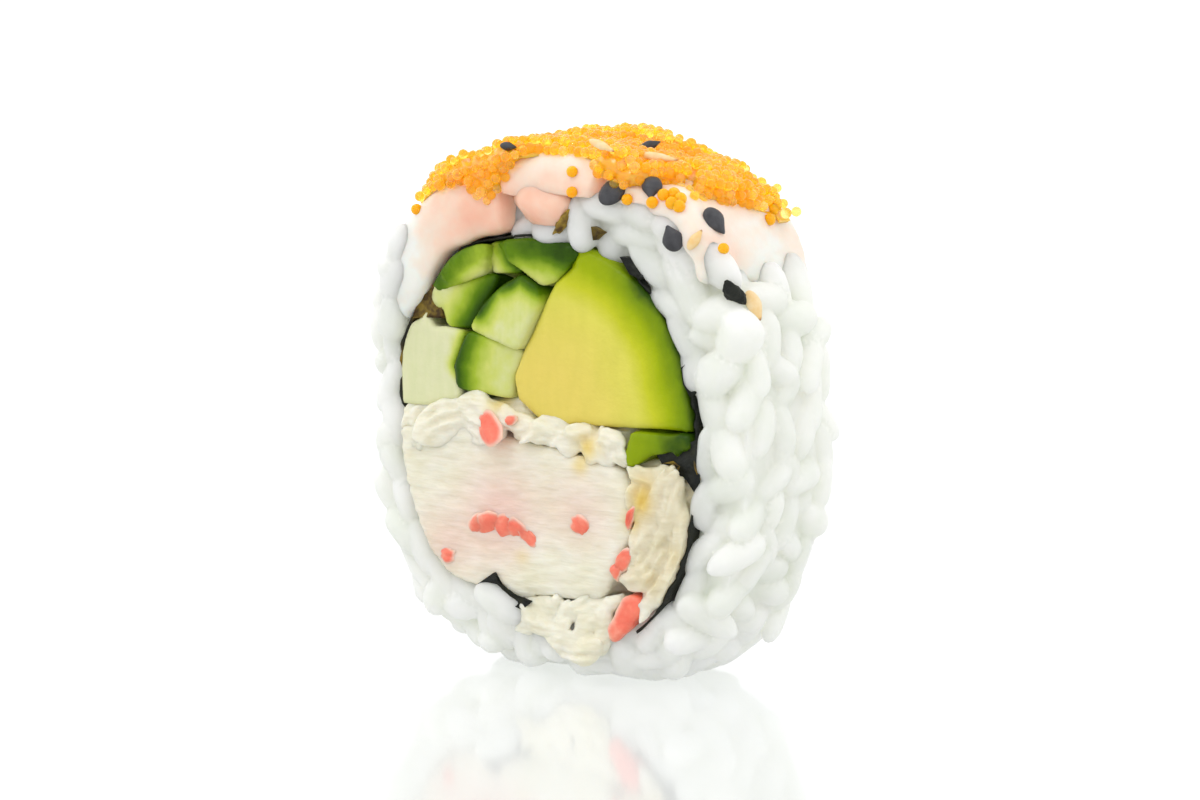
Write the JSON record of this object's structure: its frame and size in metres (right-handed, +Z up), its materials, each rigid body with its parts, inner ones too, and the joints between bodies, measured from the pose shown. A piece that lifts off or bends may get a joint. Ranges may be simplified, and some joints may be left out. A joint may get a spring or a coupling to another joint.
{
  "type": "california roll slice",
  "caption": "Slice of an inside-out california roll on its edge: rice and nori round avocado, cucumber and crab, with prawn, fish roe and sesame seeds on top.",
  "frame": {"origin": "on the table, under the middle of the slice's bounding box", "axes": "+Z up, +Y along the roll's axis from the front cut face to the back one, +X to the right of the front cut face"},
  "size_m": [0.041, 0.0177, 0.0475],
  "materials": {
    "rice": "moist cooked rice, white and slightly translucent",
    "nori": "damp dark green-black seaweed sheet",
    "avocado": "smooth wet flesh, yellow turning green at the skin side",
    "cucumber": "wet pale green flesh with dark green peel",
    "crab": "soft cream crab meat with fine fibres",
    "crab_red": "red crab stick surface",
    "prawn": "wet translucent pink prawn",
    "roe": "shiny translucent orange fish eggs"
  },
  "bodies": {
    "root": {"rice": "rice", "nori": "nori", "avocado": "avocado", "avocado_strip": "avocado", "cucumber_1": "cucumber", "cucumber_2": "cucumber", "cucumber_3": "cucumber", "cucumber_4": "cucumber", "cucumber_5": "cucumber", "cucumber_6": "cucumber", "cucumber_7": "cucumber", "crab_stick": "crab", "crab_shreds_upper": "crab", "crab_shreds_right": "crab", "crab_shreds_lower": "crab", "crab_red_strip": "crab_red", "prawn_left": "prawn", "prawn_middle": "prawn", "prawn_right": "prawn", "roe": "roe"}
  },
  "joints": []
}
